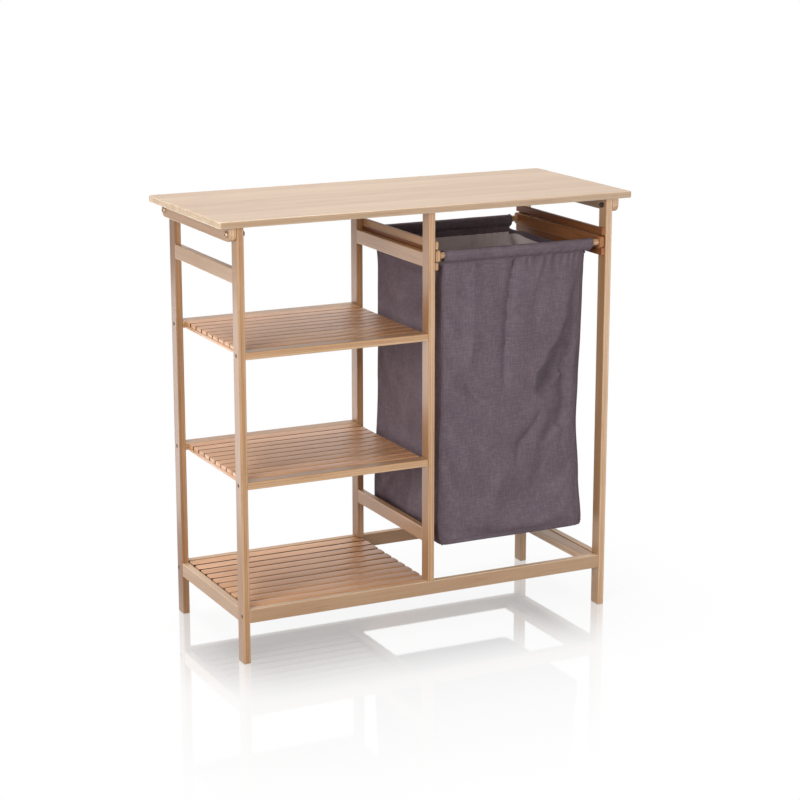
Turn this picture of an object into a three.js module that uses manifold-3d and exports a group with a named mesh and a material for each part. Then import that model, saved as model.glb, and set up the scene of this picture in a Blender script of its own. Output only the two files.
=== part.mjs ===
// Bamboo laundry sorter: a shelf unit whose right-hand bay holds a fabric bag on a sliding carriage.
// Millimetres, +Z up, front towards -Y. The origin is on the floor, under the middle of the top board.
import * as THREE from "three";
import { mergeVertices } from "three/addons/utils/BufferGeometryUtils.js";
import Module from "manifold-3d";

const wasm = await Module();
wasm.setup();

// ---- Driving dimensions ----

const barThin = 13; // every bar of the frame is cut from one stock
const barWide = 25.4;
const frameWidth = 732; // over the legs
const frameDepth = 321.6;
const legHeight = 771.35;
const board = { width: 800, depth: 342, thickness: 12.15, edge: 2, corner: 3 };

const stretcherTop = 98.8;
const shelfPitch = 228.65; // stretcher top to middle shelf, and middle shelf to upper shelf
const upperRailTop = 697.3;
const lowerMiddleRailTop = 194.8;
const bottomBarInset = 3; // between the low side rail and the flat bar beside it

const edgeRound = 1.5; // long edges of the bars
const endRound = 0.8;
const jointGap = 0.1; // glue line where one bar butts against another

const cleatCorner = 13; // rounded lower corners of the end cleats

const raisedSlat = { count: 10, length: 340.5, width: 23.7, gap: 3.07, thickness: 7, corner: 2 };
const bottomSlat = { count: 10, length: 352, width: 25.4, gap: 3.8, thickness: 7, corner: 5 };
const slatStart = 16; // from the frame's left face
const bearer = { width: 20, inset: 2 };
const bottomDeckDrop = 0.4; // the posts stand just clear of the bottom deck

const strip = { thickness: 7, height: 13.5, inset: 2 };
const lowerStripTop = 680.8;
const upperStripBottom = 704.5;
const carriage = { thickness: 9.5, height: 21.5, inset: 2, corner: 5, playSide: 1.5, playBelow: 0.3 };
const dowel = { radius: 6, fromEnd: 8.5, socketDepth: 6, play: 0.3 };

const bag = {
  width: 300,
  leftGap: 21, // from the post's face to the bag's left wall
  frontInset: 4, // from the frame's front to the bag's front wall
  backInset: 19,
  bottom: 160,
  sideTop: 672, // the side walls end below the hems
  wall: 3,
  corner: 14,
  hemRadius: 9.8,
  hemClearance: 0.4,
  hemLeftGap: 24,
};

const bolt = {
  headRadius: 6,
  headHeight: 3.5,
  shankRadius: 3,
  socketRadius: 2.3,
  socketDepth: 2,
  clearance: 0.4,
};
const nut = { radius: 4.8, height: 5, boreDepth: 4, boltEndGap: 0.5 };
const screw = { headRadius: 3.6, headDepth: 3, shankRadius: 1.75, length: 36, sink: 0.6, clearance: 0.3 };
const baseScrewLength = 48; // up through the stretcher into the post

// ---- Derived places ----

const left = -frameWidth / 2;
const right = frameWidth / 2;
const front = -frameDepth / 2;
const rear = frameDepth / 2;
const postLeft = -barThin / 2;
const postRight = barThin / 2;
const stretcherBottom = stretcherTop - barWide;
const middleShelfTop = stretcherTop + shelfPitch;
const upperShelfTop = middleShelfTop + shelfPitch;
const bayRight = right - barThin;
const boltHeight = legHeight - barThin;
const dowelHeight = lowerStripTop + carriage.playBelow + carriage.height / 2;
const dowelFront = front + carriage.inset + dowel.fromEnd;

// ---- Materials ----

function finish(color, roughness, metalness = 0) {
  return new THREE.MeshStandardMaterial({ color, roughness, metalness });
}

const topBamboo = () => finish("#dcc6ae", 0.45);
const barBamboo = () => finish("#c9a57f", 0.5);
const slatBamboo = () => finish("#c49c74", 0.5);
const linen = () => finish("#6e6067", 0.95);
const warmSteel = () => finish("#cdb79c", 0.35, 0.8);
const darkSteel = () => finish("#4a4642", 0.45, 0.8);

// ---- Solids: joining, cutting and turning ----

function toSolid(geometry) {
  const plain = geometry.clone();
  plain.deleteAttribute("normal");
  plain.deleteAttribute("uv");
  const merged = mergeVertices(plain, 1e-4);
  const vertProperties = merged.attributes.position.array;
  const triVerts = new Uint32Array(merged.index.array);
  return new wasm.Manifold(new wasm.Mesh({ numProp: 3, vertProperties, triVerts }));
}

function toGeometry(solid) {
  const mesh = solid.getMesh();
  const geometry = new THREE.BufferGeometry();
  geometry.setAttribute("position", new THREE.BufferAttribute(mesh.vertProperties, 3));
  geometry.setIndex(new THREE.BufferAttribute(mesh.triVerts, 1));
  geometry.computeVertexNormals();
  return geometry;
}

function cut(geometry, tools) {
  return toGeometry(tools.reduce((solid, tool) => solid.subtract(toSolid(tool)), toSolid(geometry)));
}

function join(geometries) {
  return toGeometry(geometries.map(toSolid).reduce((all, one) => all.add(one)));
}

function roundedRectangle(width, height, radius) {
  const shape = new THREE.Shape();
  const x = width / 2 - radius;
  const y = height / 2 - radius;
  shape.absarc(x, y, radius, 0, Math.PI / 2);
  shape.absarc(-x, y, radius, Math.PI / 2, Math.PI);
  shape.absarc(-x, -y, radius, Math.PI, 1.5 * Math.PI);
  shape.absarc(x, -y, radius, 1.5 * Math.PI, 2 * Math.PI);
  return shape;
}

// A section extruded by a length, centred on the origin, with its ends eased by `ease`.
// Each quarter round of the section gets twice `steps` facets.
function extruded(shape, length, ease = 0, steps = 1) {
  const geometry = new THREE.ExtrudeGeometry(shape, {
    depth: length - 2 * ease,
    bevelEnabled: ease > 0,
    bevelThickness: ease,
    bevelSize: ease,
    bevelOffset: -ease,
    bevelSegments: 1,
    curveSegments: steps,
  });
  return geometry.translate(0, 0, ease - length / 2);
}

// Turns a geometry built along Z so that it runs along axis 0, 1 or 2.
function along(geometry, axis) {
  const unit = [0, 1, 2].map((i) => new THREE.Vector3().setComponent(i, 1));
  const basis = new THREE.Matrix4().makeBasis(unit[(axis + 1) % 3], unit[(axis + 2) % 3], unit[axis]);
  return geometry.applyMatrix4(basis);
}

// A profile of [radius, height] points turned about an axis that leaves `at` towards `towards`.
function turned(profile, at, towards, segments = 12) {
  const points = profile.map(([radius, height]) => new THREE.Vector2(radius, height));
  const geometry = new THREE.LatheGeometry(points, segments);
  const turn = new THREE.Quaternion().setFromUnitVectors(
    new THREE.Vector3(0, 1, 0),
    new THREE.Vector3(...towards),
  );
  return geometry.applyQuaternion(turn).translate(...at);
}

function rod(radius, from, towards, length, segments = 12) {
  return turned([[0, 0], [radius, 0], [radius, length], [0, length]], from, towards, segments);
}

function piece(name, geometry, material, position = [0, 0, 0]) {
  const mesh = new THREE.Mesh(geometry, material);
  mesh.name = name;
  mesh.position.set(...position);
  return mesh;
}

// ---- Bars ----

// A bar of rectangular section between two opposite corners. Holes are tools in the object's frame.
function bar(name, low, high, holes = []) {
  const size = high.map((value, i) => value - low[i]);
  const centre = high.map((value, i) => (value + low[i]) / 2);
  const axis = size.indexOf(Math.max(...size));
  const section = roundedRectangle(size[(axis + 1) % 3], size[(axis + 2) % 3], edgeRound);
  const blank = along(extruded(section, size[axis], endRound), axis);
  const tools = holes.map((tool) => tool.clone().translate(...centre.map((value) => -value)));
  return piece(name, tools.length ? cut(blank, tools) : blank, barBamboo(), centre);
}

// ---- Fasteners ----

// A countersunk wood screw: `at` is on the wood's face, `inward` points into the wood.
function screwProfile(spare, length) {
  const head = screw.headRadius + spare;
  const shank = screw.shankRadius + spare;
  const tip = 4;
  return [
    [0, length + spare],
    [shank, length - tip + spare],
    [shank, screw.sink + screw.headDepth + spare],
    [head, screw.sink],
  ];
}

function screwPiece(name, at, inward, length = screw.length) {
  const profile = [...screwProfile(0, length), [0, screw.sink]].reverse();
  const body = turned(profile, at, inward);
  const slotWidth = 1;
  const slotDepth = 1.6;
  const axis = inward.findIndex((value) => value !== 0);
  const middle = at.map((value, i) => value + inward[i] * screw.sink);
  const slots = [1, 2].map((turn) => {
    const size = [2 * slotDepth, 2 * slotDepth, 2 * slotDepth];
    size[(axis + turn) % 3] = slotWidth;
    size[(axis + 3 - turn) % 3] = 1.2 * screw.headRadius;
    return new THREE.BoxGeometry(...size).translate(...middle);
  });
  return piece(name, cut(body, slots), darkSteel());
}

function screwHole(at, inward, length = screw.length) {
  const over = 1;
  const mouth = screw.headRadius + screw.clearance;
  const profile = [[mouth, -over], [0, -over]];
  return turned([...screwProfile(screw.clearance, length), ...profile].reverse(), at, inward);
}

// A button-head bolt through the cleat and the leg: `side` is -1 on the left and 1 on the right.
function boltAt(side, y) {
  return [side * (right + barThin), y, boltHeight];
}

function boltPiece(name, side, y) {
  const inward = [-side, 0, 0];
  const length = 2 * barThin + nut.boreDepth - nut.boltEndGap;
  const crown = 0.7;
  const profile = [
    [0, -bolt.headHeight],
    [bolt.headRadius * crown, -bolt.headHeight],
    [bolt.headRadius, -bolt.headHeight * (1 - crown)],
    [bolt.headRadius, 0],
    [bolt.shankRadius, 0],
    [bolt.shankRadius, length],
    [0, length],
  ];
  const at = boltAt(side, y);
  const seat = [at[0] + side * jointGap, at[1], at[2]];
  const mouth = [seat[0] + side * (bolt.headHeight + 1), y, boltHeight];
  const socket = rod(bolt.socketRadius, mouth, inward, bolt.socketDepth + 1, 6);
  return piece(name, cut(turned(profile, seat, inward, 16), [socket]), warmSteel());
}

function boltHole(side, y) {
  const over = 5;
  const start = [side * (right + barThin + over), y, boltHeight];
  return rod(bolt.shankRadius + bolt.clearance, start, [-side, 0, 0], 2 * (barThin + over));
}

// A cap nut against the leg's inner face, bored for the end of the bolt.
function nutPiece(name, side, y) {
  const inward = [-side, 0, 0];
  const seat = [side * (bayRight - jointGap), y, boltHeight];
  const body = rod(nut.radius, seat, inward, nut.height, 6);
  const start = [seat[0] + side, y, boltHeight];
  const bore = rod(bolt.shankRadius + bolt.clearance, start, inward, nut.boreDepth + 1);
  return piece(name, cut(body, [bore]), darkSteel());
}

// ---- Frame ----

const boltRows = [
  ["front", front + barWide / 2],
  ["rear", rear - barWide / 2],
];

// Screws that enter the legs' and posts' faces and hold the shelf rails and the stretchers.
const shelfRows = [
  ["upper", upperShelfTop - barThin / 2],
  ["middle", middleShelfTop - barThin / 2],
];

function shelfScrewPlaces() {
  const places = [];
  for (const [end, y] of boltRows) {
    for (const [level, z] of shelfRows) {
      places.push({ name: `leg_screw_${end}_${level}`, at: [left, y, z], inward: [1, 0, 0] });
      places.push({ name: `post_screw_${end}_${level}`, at: [postRight, y, z], inward: [-1, 0, 0] });
    }
  }
  return places;
}

function stretcherScrewPlaces() {
  const z = stretcherBottom + barWide / 2;
  const rows = [["front", front + barThin / 2], ["rear", rear - barThin / 2]];
  return rows.flatMap(([end, y]) => [
    { name: `leg_screw_${end}_bottom_left`, at: [left, y, z], inward: [1, 0, 0] },
    { name: `leg_screw_${end}_bottom_right`, at: [right, y, z], inward: [-1, 0, 0] },
    { name: `base_screw_${end}`, at: [0, y, stretcherBottom], inward: [0, 0, 1], length: baseScrewLength },
  ]);
}

const screwPlaces = [...shelfScrewPlaces(), ...stretcherScrewPlaces()];
const screwHoles = screwPlaces.map(({ at, inward, length }) => screwHole(at, inward, length));

// The holes that reach into the box between two corners, and don't only touch it.
function holesIn(low, high, tools) {
  const leastShare = 2;
  const box = new THREE.Box3(new THREE.Vector3(...low), new THREE.Vector3(...high));
  return tools.filter((tool) => {
    tool.computeBoundingBox();
    const shared = tool.boundingBox.clone().intersect(box);
    return !shared.isEmpty() && shared.getSize(new THREE.Vector3()).length() > leastShare;
  });
}

const boltHoles = [-1, 1].flatMap((side) => boltRows.map(([, y]) => boltHole(side, y)));

function drilledBar(name, low, high) {
  return bar(name, low, high, holesIn(low, high, [...screwHoles, ...boltHoles]));
}

function legs() {
  const group = new THREE.Group();
  const sides = [["left", left], ["right", bayRight]];
  const ends = [["front", front], ["rear", rear - barWide]];
  for (const [end, y] of ends) {
    for (const [side, x] of sides) {
      group.add(drilledBar(`leg_${end}_${side}`, [x, y, 0], [x + barThin, y + barWide, legHeight]));
    }
    const foot = stretcherTop + jointGap;
    const high = [postRight, y + barWide, legHeight];
    group.add(drilledBar(`post_${end}`, [postLeft, y, foot], high));
  }
  return group;
}

function stretchers() {
  const group = new THREE.Group();
  const reach = bayRight - jointGap;
  for (const [end, y] of [["front", front], ["rear", rear - barThin]]) {
    const low = [-reach, y, stretcherBottom];
    group.add(drilledBar(`stretcher_${end}`, low, [reach, y + barThin, stretcherTop]));
  }
  return group;
}

// A rail between a front and a rear upright, on edge, its top at height z.
function sideRail(name, x, z) {
  const y = rear - barWide - jointGap;
  return bar(name, [x, -y, z - barWide], [x + barThin, y, z]);
}

function sideRails() {
  const group = new THREE.Group();
  group.add(sideRail("bottom_rail_left", left, stretcherTop));
  group.add(sideRail("bottom_rail_right", bayRight, stretcherTop));
  group.add(sideRail("upper_rail_left", left, upperRailTop));
  group.add(sideRail("upper_rail_middle", postLeft, upperRailTop));
  group.add(sideRail("upper_rail_right", bayRight, upperRailTop));
  group.add(sideRail("lower_rail_middle", postLeft, lowerMiddleRailTop));
  const barRight = bayRight - bottomBarInset;
  const y = rear - barThin - jointGap;
  const low = [barRight - barWide, -y, stretcherTop - barThin - jointGap];
  group.add(bar("bottom_bar_right", low, [barRight, y, stretcherTop - jointGap]));
  return group;
}

// The cleats carry the top board outside the legs. Their lower corners are rounded in side view.
function cleat(name, side) {
  const height = barWide;
  const top = legHeight - jointGap;
  const outline = new THREE.Shape();
  outline.moveTo(rear, top);
  outline.lineTo(front, top);
  outline.absarc(front + cleatCorner, top - height + cleatCorner, cleatCorner, Math.PI, 1.5 * Math.PI);
  outline.absarc(rear - cleatCorner, top - height + cleatCorner, cleatCorner, 1.5 * Math.PI, 2 * Math.PI);
  const blank = along(extruded(outline, barThin - jointGap, endRound, 4), 0);
  const x = side * (right + (barThin + jointGap) / 2);
  const tools = boltRows.map(([, y]) => boltHole(side, y).translate(-x, 0, 0));
  return piece(name, cut(blank, tools), barBamboo(), [x, 0, 0]);
}

function topBoard() {
  const plan = roundedRectangle(board.width, board.depth, board.corner);
  const geometry = new THREE.ExtrudeGeometry(plan, {
    depth: board.thickness - 2 * board.edge,
    bevelThickness: board.edge,
    bevelSize: board.edge,
    bevelOffset: -board.edge,
    bevelSegments: 2,
    curveSegments: 2,
  });
  return piece("top_board", geometry, topBamboo(), [0, 0, legHeight + board.edge]);
}

// ---- Shelves ----

// Slats side by side from front to back, glued to two bearers that run under their ends.
function deck(name, slat, firstEdge, top) {
  const plan = roundedRectangle(slat.length, slat.width, slat.corner);
  const glueOverlap = 0.5;
  const slatEase = 1;
  const parts = [];
  for (let i = 0; i < slat.count; i += 1) {
    const y = firstEdge + slat.width / 2 + i * (slat.width + slat.gap);
    parts.push(extruded(plan, slat.thickness, slatEase).translate(0, y, -slat.thickness / 2));
  }
  const bearerHeight = barThin - slat.thickness + glueOverlap;
  const bearerLength = 2 * (Math.abs(firstEdge) - slatEase);
  for (const side of [-1, 1]) {
    const x = side * (slat.length / 2 - bearer.inset - bearer.width / 2);
    const blank = new THREE.BoxGeometry(bearer.width, bearerLength, bearerHeight);
    parts.push(blank.translate(x, 0, bearerHeight / 2 - barThin));
  }
  return piece(name, join(parts), slatBamboo(), [left + slatStart + slat.length / 2, 0, top]);
}

function raisedShelf(level, top) {
  const group = new THREE.Group();
  const low = left + barThin + jointGap;
  const high = postLeft - jointGap;
  for (const [end, y] of [["front", front], ["rear", rear - barWide]]) {
    const name = `${level}_shelf_rail_${end}`;
    group.add(drilledBar(name, [low, y, top - barThin], [high, y + barWide, top]));
  }
  const firstEdge = front + barWide + raisedSlat.gap;
  group.add(deck(`${level}_shelf_deck`, raisedSlat, firstEdge, top));
  return group;
}

function shelves() {
  const group = new THREE.Group();
  group.add(raisedShelf("upper", upperShelfTop));
  group.add(raisedShelf("middle", middleShelfTop));
  const span = bottomSlat.count * bottomSlat.width + (bottomSlat.count - 1) * bottomSlat.gap;
  group.add(deck("bottom_shelf_deck", bottomSlat, -span / 2, stretcherTop - bottomDeckDrop));
  return group;
}

// ---- Bag bay: guide strips and the sliding carriage ----

function guides() {
  const group = new THREE.Group();
  const y = rear - strip.inset;
  const sides = [
    ["left", postRight + jointGap, postRight + jointGap + strip.thickness],
    ["right", bayRight - jointGap - strip.thickness, bayRight - jointGap],
  ];
  const levels = [["lower", lowerStripTop - strip.height], ["upper", upperStripBottom]];
  for (const [side, low, high] of sides) {
    for (const [level, z] of levels) {
      group.add(bar(`guide_${side}_${level}`, [low, -y, z], [high, y, z + strip.height]));
    }
  }
  return group;
}

function carriageBar(name, outer, side) {
  const inner = outer + side * carriage.thickness;
  const length = frameDepth - 2 * carriage.inset;
  const outline = roundedRectangle(length, carriage.height, carriage.corner);
  const blank = along(extruded(outline, carriage.thickness, endRound, 3), 0);
  const x = (outer + inner) / 2;
  const sockets = [dowelFront, -dowelFront].map((y) => {
    const mouth = [inner + side - x, y, 0];
    return rod(dowel.radius + dowel.play, mouth, [-side, 0, 0], dowel.socketDepth + 1, 20);
  });
  return piece(name, cut(blank, sockets), barBamboo(), [x, 0, dowelHeight]);
}

// A bag open at the top. Its front and back walls end in hems round the dowels.
function bagPiece() {
  const wallLeft = postRight + bag.leftGap;
  const x = wallLeft + bag.width / 2;
  const low = front + bag.frontInset;
  const high = rear - bag.backInset;
  const y = (low + high) / 2;
  const depth = high - low;
  const wallTop = dowelHeight - 1;
  const height = wallTop - bag.bottom;
  const outer = extruded(roundedRectangle(bag.width, depth, bag.corner), height, 0, 3);
  const innerPlan = roundedRectangle(bag.width - 2 * bag.wall, depth - 2 * bag.wall, bag.corner - bag.wall);
  const inner = extruded(innerPlan, height, 0, 3).translate(0, 0, bag.wall);
  const sideCut = new THREE.BoxGeometry(2 * bag.width, depth - 2 * bag.wall - 2, 2 * (wallTop - bag.sideTop));
  sideCut.translate(0, 0, height / 2);
  const shell = cut(outer, [inner, sideCut]).translate(x, y, bag.bottom + height / 2);
  const hemLeft = postRight + bag.hemLeftGap;
  const rows = [dowelFront, -dowelFront];
  const backGap = -dowelFront - high;
  const bridge = new THREE.BoxGeometry(bag.width - 2 * bag.corner, backGap, bag.wall);
  bridge.translate(x, high + backGap / 2 - bag.wall, wallTop - bag.hemRadius + bag.wall / 2);
  const hems = rows.map((row) => rod(bag.hemRadius, [hemLeft, row, dowelHeight], [1, 0, 0], bag.width, 20));
  const bores = rows.map((row) => {
    const start = [hemLeft - bag.corner, row, dowelHeight];
    return rod(dowel.radius + bag.hemClearance, start, [1, 0, 0], bag.width + 2 * bag.corner, 20);
  });
  return piece("bag", cut(join([shell, bridge, ...hems]), bores), linen());
}

function slidingCarriage() {
  const group = new THREE.Group();
  const outerLeft = postRight + carriage.playSide;
  const outerRight = bayRight - carriage.playSide;
  group.add(carriageBar("carriage_bar_left", outerLeft, 1));
  group.add(carriageBar("carriage_bar_right", outerRight, -1));
  const seat = carriage.thickness - dowel.socketDepth + dowel.play;
  const length = outerRight - outerLeft - 2 * seat;
  for (const [end, y] of [["front", dowelFront], ["rear", -dowelFront]]) {
    const geometry = rod(dowel.radius, [outerLeft + seat, 0, 0], [1, 0, 0], length, 20);
    group.add(piece(`dowel_${end}`, geometry, barBamboo(), [0, y, dowelHeight]));
  }
  group.add(bagPiece());
  return group;
}

// ---- Assembly ----

function fasteners() {
  const group = new THREE.Group();
  for (const [sideName, side] of [["left", -1], ["right", 1]]) {
    for (const [end, y] of boltRows) {
      group.add(boltPiece(`cleat_bolt_${end}_${sideName}`, side, y));
      group.add(nutPiece(`cleat_nut_${end}_${sideName}`, side, y));
    }
  }
  for (const { name, at, inward, length } of screwPlaces) {
    group.add(screwPiece(name, at, inward, length));
  }
  return group;
}

const laundrySorter = new THREE.Group();
laundrySorter.add(topBoard(), cleat("cleat_left", -1), cleat("cleat_right", 1));
laundrySorter.add(legs(), stretchers(), sideRails());
laundrySorter.add(shelves(), guides(), fasteners(), slidingCarriage());

export default laundrySorter;
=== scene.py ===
import math

import bpy
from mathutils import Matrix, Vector, noise


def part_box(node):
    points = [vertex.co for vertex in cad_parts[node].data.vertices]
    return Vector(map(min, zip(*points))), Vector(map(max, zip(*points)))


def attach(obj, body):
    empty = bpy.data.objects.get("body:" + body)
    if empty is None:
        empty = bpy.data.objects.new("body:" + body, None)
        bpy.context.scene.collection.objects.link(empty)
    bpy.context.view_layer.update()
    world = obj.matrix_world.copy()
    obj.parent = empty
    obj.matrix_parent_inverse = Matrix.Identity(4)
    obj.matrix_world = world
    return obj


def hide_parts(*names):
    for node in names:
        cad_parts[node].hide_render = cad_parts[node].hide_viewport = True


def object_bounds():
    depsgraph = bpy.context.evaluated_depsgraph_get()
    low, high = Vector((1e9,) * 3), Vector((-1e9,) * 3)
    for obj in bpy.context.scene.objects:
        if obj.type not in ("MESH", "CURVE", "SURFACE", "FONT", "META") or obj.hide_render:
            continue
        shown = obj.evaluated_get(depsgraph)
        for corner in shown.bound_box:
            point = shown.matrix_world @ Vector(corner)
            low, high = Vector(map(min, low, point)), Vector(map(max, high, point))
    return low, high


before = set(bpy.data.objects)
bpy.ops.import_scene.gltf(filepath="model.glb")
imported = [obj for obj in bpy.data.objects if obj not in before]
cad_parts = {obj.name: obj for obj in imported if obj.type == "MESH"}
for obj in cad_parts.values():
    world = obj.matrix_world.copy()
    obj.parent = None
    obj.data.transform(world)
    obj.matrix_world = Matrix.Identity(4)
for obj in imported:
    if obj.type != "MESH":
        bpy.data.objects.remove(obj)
CAD_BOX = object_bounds()

bl_info = {
    "name": "Bamboo Laundry Sorter",
    "version": (1, 0, 0),
    "blender": (4, 5, 0),
    "location": "3D View > Sidebar > Laundry Sorter",
    "description": "Finishes a bamboo shelf unit and models its slatted shelves and its hanging laundry bag",
    "category": "Object",
}

MM = 0.001
PANEL_PITCH = 310   # between the starts of two panels in the cloth coordinates, in millimetres
BASE_START = 4.5 * PANEL_PITCH   # of the bottom panel, past the four walls
TURNED_RINGS = 3   # rings of the bag's mesh that turn under its bottom edge


# ---- Small helpers ----

def linear(hex_colour):
    """An sRGB hex colour as linear red, green, blue and a full alpha."""
    channels = [int(hex_colour[i:i + 2], 16) / 255 for i in (1, 3, 5)]
    return [c / 12.92 if c <= 0.04045 else ((c + 0.055) / 1.055) ** 2.4 for c in channels] + [1.0]


def smooth(low, high, value):
    """0 below low, 1 above high, and an even curve between them."""
    t = min(1.0, max(0.0, (value - low) / (high - low)))
    return t * t * (3 - 2 * t)


def mix(a, b, share):
    return a + (b - a) * share


def deselect():
    for obj in bpy.context.selected_objects:
        obj.select_set(False)


def activate(obj):
    deselect()
    obj.select_set(True)
    bpy.context.view_layer.objects.active = obj


def add_node(tree, kind, settings=None, inputs=None):
    """Adds one shader node. A setting is a property; an input is a value or another node's output."""
    node = tree.nodes.new(kind)
    for key, value in (settings or {}).items():
        setattr(node, key, value)
    for key, value in (inputs or {}).items():
        if isinstance(value, bpy.types.NodeSocket):
            tree.links.new(value, node.inputs[key])
        else:
            node.inputs[key].default_value = value
    return node


def math_node(tree, operation, first, second=0.0, clamp=False):
    settings = {"operation": operation, "use_clamp": clamp}
    return add_node(tree, "ShaderNodeMath", settings, {0: first, 1: second}).outputs[0]


def weighted(tree, *terms):
    """The sum of some values, each times its weight."""
    total = None
    for value, weight in terms:
        share = math_node(tree, "MULTIPLY", value, weight)
        total = share if total is None else math_node(tree, "ADD", total, share)
    return total


def seen_or_mirrored(tree):
    """1 for what the camera sees, also in a mirror, and 0 for the light that surfaces throw at each other."""
    path = add_node(tree, "ShaderNodeLightPath").outputs
    seen = math_node(tree, "MAXIMUM", path["Is Camera Ray"], path["Is Glossy Ray"])
    return math_node(tree, "MAXIMUM", seen, path["Is Transmission Ray"])


def blank_material(name):
    material = bpy.data.materials.new(name)
    material.use_nodes = True
    material.node_tree.nodes.clear()
    return material


def ramp(tree, factor, stops):
    """A colour ramp of (place, hex colour) stops."""
    node = add_node(tree, "ShaderNodeValToRGB", {}, {0: factor})
    elements = node.color_ramp.elements
    while len(elements) < len(stops):
        elements.new(0.5)
    for element, (place, colour) in zip(elements, stops):
        element.position = place
        element.color = linear(colour)
    return node.outputs[0]


def apply_modifier(obj, kind, **settings):
    """Adds a modifier to the active object, sets it and applies it."""
    modifier = obj.modifiers.new(kind.lower(), kind)
    for key, value in settings.items():
        setattr(modifier, key, value)
    bpy.ops.object.modifier_apply(modifier=modifier.name)


# ---- Settings shown in the sidebar ----

def length_setting(name, description, default):
    return bpy.props.FloatProperty(name=name, description=description, default=default, unit="LENGTH",
                                   subtype="DISTANCE")


def light_setting(name, description):
    return bpy.props.FloatVectorProperty(name=name, description=description, size=3,
                                         default=linear("#FFFFFF")[:3], subtype="COLOR")


class SorterSizes(bpy.types.PropertyGroup):
    """Sizes of what is modelled here and isn't part of the fixed frame."""
    slat_edge: length_setting("Slat edge", "Rounding along a slat's edges", 1.2 * MM)
    slat_thickness: length_setting("Slat thickness", "Thickness of a shelf slat", 7 * MM)
    bearer_width: length_setting("Bearer width", "Width of the bars under the slats' ends", 20 * MM)
    lamination: length_setting("Lamination", "Thickness of one glued bamboo layer", 4.33 * MM)
    board_strip: length_setting("Board strip", "Width of one strip in the top board", 21 * MM)
    cloth_step: length_setting("Cloth step", "Spacing of the bag's mesh", 8 * MM)
    cloth_thickness: length_setting("Cloth thickness", "Outer fabric with its lining", 1.2 * MM)


class SorterColours(bpy.types.PropertyGroup):
    """The lamps' colours, and the light that fills the shadows."""
    front_light: light_setting("Front light", "Colour of the boxes in front and the panels above")
    side_light: light_setting("Side light", "Colour of the side panels and of the card behind the left side")
    room_light: bpy.props.FloatProperty(
        name="Room light", description="Strength of the even light all round", default=0.0, min=0.0,
        subtype="FACTOR")


# ---- Bamboo ----

LACQUERED, WAXED = 0.5, 0.12   # strength of the reflections
WIDER_THAN_ANY_STICK = 1.0

# Tones of the wood, from its dark fibres to its palest strips.
BAR_TONES = [(0.0, "#8E653F"), (0.35, "#B38A64"), (0.62, "#C49F7A"), (1.0, "#D6B898")]
# Redder, darker tones: painted shade and bounce light, for the sticks on the inside of the right side.
SHADED_RED_TONES = [(0.0, "#82502E"), (0.35, "#A67048"), (0.62, "#B7835B"), (1.0, "#C99B79")]
SLAT_TONES = [(0.0, "#96643B"), (0.35, "#BE8A5E"), (0.62, "#D19D73"), (1.0, "#E4B68F")]
# The top board's tones are paler than the bars', with painted sheen in them: the pale reflection of the white
# surroundings that its top shows at a grazing view.
BOARD_TONES = [(0.0, "#AD8B6A"), (0.35, "#CBAF8F"), (0.62, "#D8BFA1"), (1.0, "#E5D2B9")]

# Shifts along the tones, stick by stick. On the rear post, the rear-left leg and the right inner rail, guides
# and carriage bar the darkening is painted shade, and on the front stretcher the paler tone is painted light.
# The others make a stick paler or darker.
STICK_TONE_AND_SHADE = {
    "stretcher_front": 0.35, "leg_front_left": -0.2, "leg_front_right": 0.15, "post_rear": -0.35,
    "leg_rear_left": -0.3, "bottom_rail_left": 0.3, "upper_rail_left": 0.2, "cleat_left": 0.2,
    "upper_rail_right": -0.35, "guide_right": -0.3, "carriage_bar_right": -0.2,
}

# The sliding bars and the guides are waxed, not lacquered. Those on the inside of the right side get redder,
# darker tones, which are painted shade and warm bounce light from the wood around them.
SHADED_RED_STICKS = ("upper_rail_right", "guide_right", "carriage_bar_right")
WAXED_STICKS = ("upper_rail_right", "guide_", "carriage_bar")


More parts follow.
